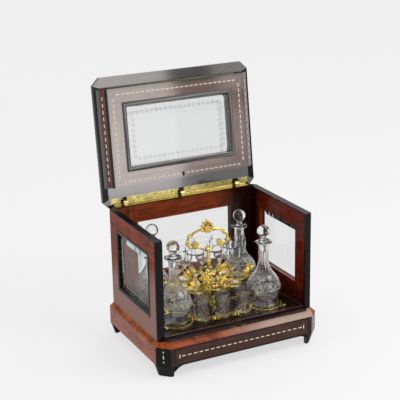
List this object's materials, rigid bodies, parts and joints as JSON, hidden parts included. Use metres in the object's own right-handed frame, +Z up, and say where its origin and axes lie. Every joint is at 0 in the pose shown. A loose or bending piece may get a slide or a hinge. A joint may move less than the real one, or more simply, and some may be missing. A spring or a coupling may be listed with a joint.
{
  "type": "antique tantalus",
  "caption": "Antique glazed liqueur cabinet on a canted plinth, with a rear-hinged lid, a folding front flap, and a lift-out gilt stand of cut glass decanters and glasses.",
  "frame": {"origin": "centre of the plinth's footprint, on the surface that the feet stand on", "axes": "+X to the right, +Y to the back where the lid is hinged, +Z up"},
  "size_m": [0.33, 0.288, 0.4909],
  "materials": {
    "rosewood": "french polished, gloss",
    "mahogany": "french polished, gloss",
    "ebonised": "ebonised and polished, gloss",
    "polished_moulding": "french polished, gloss",
    "lining_board": "satin",
    "bevelled_glass": "polished, bevelled edge",
    "brass": "polished",
    "gilt_brass": "gilt, cast ornament",
    "cut_glass": "polished, cut facets"
  },
  "bodies": {
    "case": {"plinth_boards": "rosewood", "plinth_corner_blocks": "ebonised", "bracket_feet": "ebonised", "plinth_moulding": "polished_moulding", "floor_board": "lining_board", "side_wall_frames": "mahogany", "back_wall_frame": "mahogany", "wall_window_panes": "bevelled_glass", "wall_window_beads": "ebonised", "wall_corner_posts": "mahogany", "wall_lippings": "ebonised", "case_hinge_leaf": "brass", "case_hinge_screws": "brass", "lock_keep": "brass"},
    "hinge_pin": {"hinge_pin": "brass"},
    "lid": {"lid_frame": "ebonised", "lid_moulding": "ebonised", "lid_pane": "bevelled_glass", "lid_bead": "ebonised", "lid_hinge_leaf": "brass", "lid_hinge_screws": "brass", "lid_flap_hinge": "brass"},
    "flap": {"flap_frame": "rosewood", "flap_pane": "bevelled_glass", "flap_bead": "ebonised", "flap_corner_posts": "ebonised", "flap_hinge_leaf": "brass", "lock_case": "brass"},
    "lock_bolt": {"lock_bolt": "brass"},
    "stand": {"wooden_tray": "lining_board", "base_frame": "gilt_brass", "corner_finials": "gilt_brass", "column": "gilt_brass", "upper_tray": "gilt_brass", "gallery_scrolls": "gilt_brass", "carrying_handle": "gilt_brass"},
    "decanter_front_left": {"decanter_front_left": "cut_glass"},
    "stopper_front_left": {"stopper_front_left": "cut_glass"},
    "decanter_front_right": {"decanter_front_right": "cut_glass"},
    "stopper_front_right": {"stopper_front_right": "cut_glass"},
    "decanter_back_left": {"decanter_back_left": "cut_glass"},
    "stopper_back_left": {"stopper_back_left": "cut_glass"},
    "decanter_back_right": {"decanter_back_right": "cut_glass"},
    "stopper_back_right": {"stopper_back_right": "cut_glass"},
    "tumbler_1": {"tumbler_1": "cut_glass"},
    "tumbler_2": {"tumbler_2": "cut_glass"},
    "tumbler_3": {"tumbler_3": "cut_glass"},
    "tumbler_4": {"tumbler_4": "cut_glass"},
    "tumbler_5": {"tumbler_5": "cut_glass"},
    "tumbler_6": {"tumbler_6": "cut_glass"},
    "tumbler_7": {"tumbler_7": "cut_glass"},
    "tumbler_8": {"tumbler_8": "cut_glass"},
    "stemmed_glass_1": {"stemmed_glass_1": "cut_glass"},
    "stemmed_glass_2": {"stemmed_glass_2": "cut_glass"},
    "stemmed_glass_3": {"stemmed_glass_3": "cut_glass"},
    "stemmed_glass_4": {"stemmed_glass_4": "cut_glass"},
    "stemmed_glass_5": {"stemmed_glass_5": "cut_glass"},
    "stemmed_glass_6": {"stemmed_glass_6": "cut_glass"},
    "stemmed_glass_7": {"stemmed_glass_7": "cut_glass"},
    "stemmed_glass_8": {"stemmed_glass_8": "cut_glass"}
  },
  "joints": [
    {"name": "pin_turn", "type": "hinge", "parent": "case", "child": "hinge_pin", "pos_m": [0, 0.12, 0.2507], "axis": [-1, 0, 0], "range_deg": [-37, 0]},
    {"name": "lid_turn", "type": "hinge", "parent": "hinge_pin", "child": "lid", "pos_m": [0, 0.12, 0.2507], "axis": [-1, 0, 0], "range_deg": [-60, 0]},
    {"name": "flap_fold", "type": "hinge", "parent": "lid", "child": "flap", "pos_m": [0, 0.14578, 0.4705], "axis": [1, 0, 0], "range_deg": [-90, 0]},
    {"name": "bolt_throw", "type": "slide", "parent": "flap", "child": "lock_bolt", "axis": [0, 0.1219, 0.9925], "range_m": [-0.005, 0]},
    {"name": "stand_lift", "type": "slide", "parent": "case", "child": "stand", "axis": [0, 0, 1], "range_m": [0, 0.195]},
    {"name": "decanter_front_left_lift", "type": "slide", "parent": "stand", "child": "decanter_front_left", "axis": [0, 0, 1], "range_m": [0, 0.185]},
    {"name": "stopper_front_left_lift", "type": "slide", "parent": "decanter_front_left", "child": "stopper_front_left", "axis": [0, 0, 1], "range_m": [0, 0.04]},
    {"name": "decanter_front_right_lift", "type": "slide", "parent": "stand", "child": "decanter_front_right", "axis": [0, 0, 1], "range_m": [0, 0.185]},
    {"name": "stopper_front_right_lift", "type": "slide", "parent": "decanter_front_right", "child": "stopper_front_right", "axis": [0, 0, 1], "range_m": [0, 0.04]},
    {"name": "decanter_back_left_lift", "type": "slide", "parent": "stand", "child": "decanter_back_left", "axis": [0, 0, 1], "range_m": [0, 0.185]},
    {"name": "stopper_back_left_lift", "type": "slide", "parent": "decanter_back_left", "child": "stopper_back_left", "axis": [0, 0, 1], "range_m": [0, 0.04]},
    {"name": "decanter_back_right_lift", "type": "slide", "parent": "stand", "child": "decanter_back_right", "axis": [0, 0, 1], "range_m": [0, 0.185]},
    {"name": "stopper_back_right_lift", "type": "slide", "parent": "decanter_back_right", "child": "stopper_back_right", "axis": [0, 0, 1], "range_m": [0, 0.04]},
    {"name": "tumbler_1_lift", "type": "slide", "parent": "stand", "child": "tumbler_1", "axis": [0, 0, 1], "range_m": [0, 0.185]},
    {"name": "tumbler_2_lift", "type": "slide", "parent": "stand", "child": "tumbler_2", "axis": [0, 0, 1], "range_m": [0, 0.185]},
    {"name": "tumbler_3_lift", "type": "slide", "parent": "stand", "child": "tumbler_3", "axis": [0, 0, 1], "range_m": [0, 0.185]},
    {"name": "tumbler_4_lift", "type": "slide", "parent": "stand", "child": "tumbler_4", "axis": [0, 0, 1], "range_m": [0, 0.185]},
    {"name": "tumbler_5_lift", "type": "slide", "parent": "stand", "child": "tumbler_5", "axis": [0, 0, 1], "range_m": [0, 0.185]},
    {"name": "tumbler_6_lift", "type": "slide", "parent": "stand", "child": "tumbler_6", "axis": [0, 0, 1], "range_m": [0, 0.185]},
    {"name": "tumbler_7_lift", "type": "slide", "parent": "stand", "child": "tumbler_7", "axis": [0, 0, 1], "range_m": [0, 0.185]},
    {"name": "tumbler_8_lift", "type": "slide", "parent": "stand", "child": "tumbler_8", "axis": [0, 0, 1], "range_m": [0, 0.185]},
    {"name": "stemmed_glass_1_lift", "type": "slide", "parent": "stand", "child": "stemmed_glass_1", "axis": [0, 0, 1], "range_m": [0, 0.143]},
    {"name": "stemmed_glass_2_lift", "type": "slide", "parent": "stand", "child": "stemmed_glass_2", "axis": [0, 0, 1], "range_m": [0, 0.143]},
    {"name": "stemmed_glass_3_lift", "type": "slide", "parent": "stand", "child": "stemmed_glass_3", "axis": [0, 0, 1], "range_m": [0, 0.143]},
    {"name": "stemmed_glass_4_lift", "type": "slide", "parent": "stand", "child": "stemmed_glass_4", "axis": [0, 0, 1], "range_m": [0, 0.143]},
    {"name": "stemmed_glass_5_lift", "type": "slide", "parent": "stand", "child": "stemmed_glass_5", "axis": [0, 0, 1], "range_m": [0, 0.143]},
    {"name": "stemmed_glass_6_lift", "type": "slide", "parent": "stand", "child": "stemmed_glass_6", "axis": [0, 0, 1], "range_m": [0, 0.143]},
    {"name": "stemmed_glass_7_lift", "type": "slide", "parent": "stand", "child": "stemmed_glass_7", "axis": [0, 0, 1], "range_m": [0, 0.143]},
    {"name": "stemmed_glass_8_lift", "type": "slide", "parent": "stand", "child": "stemmed_glass_8", "axis": [0, 0, 1], "range_m": [0, 0.143]}
  ]
}
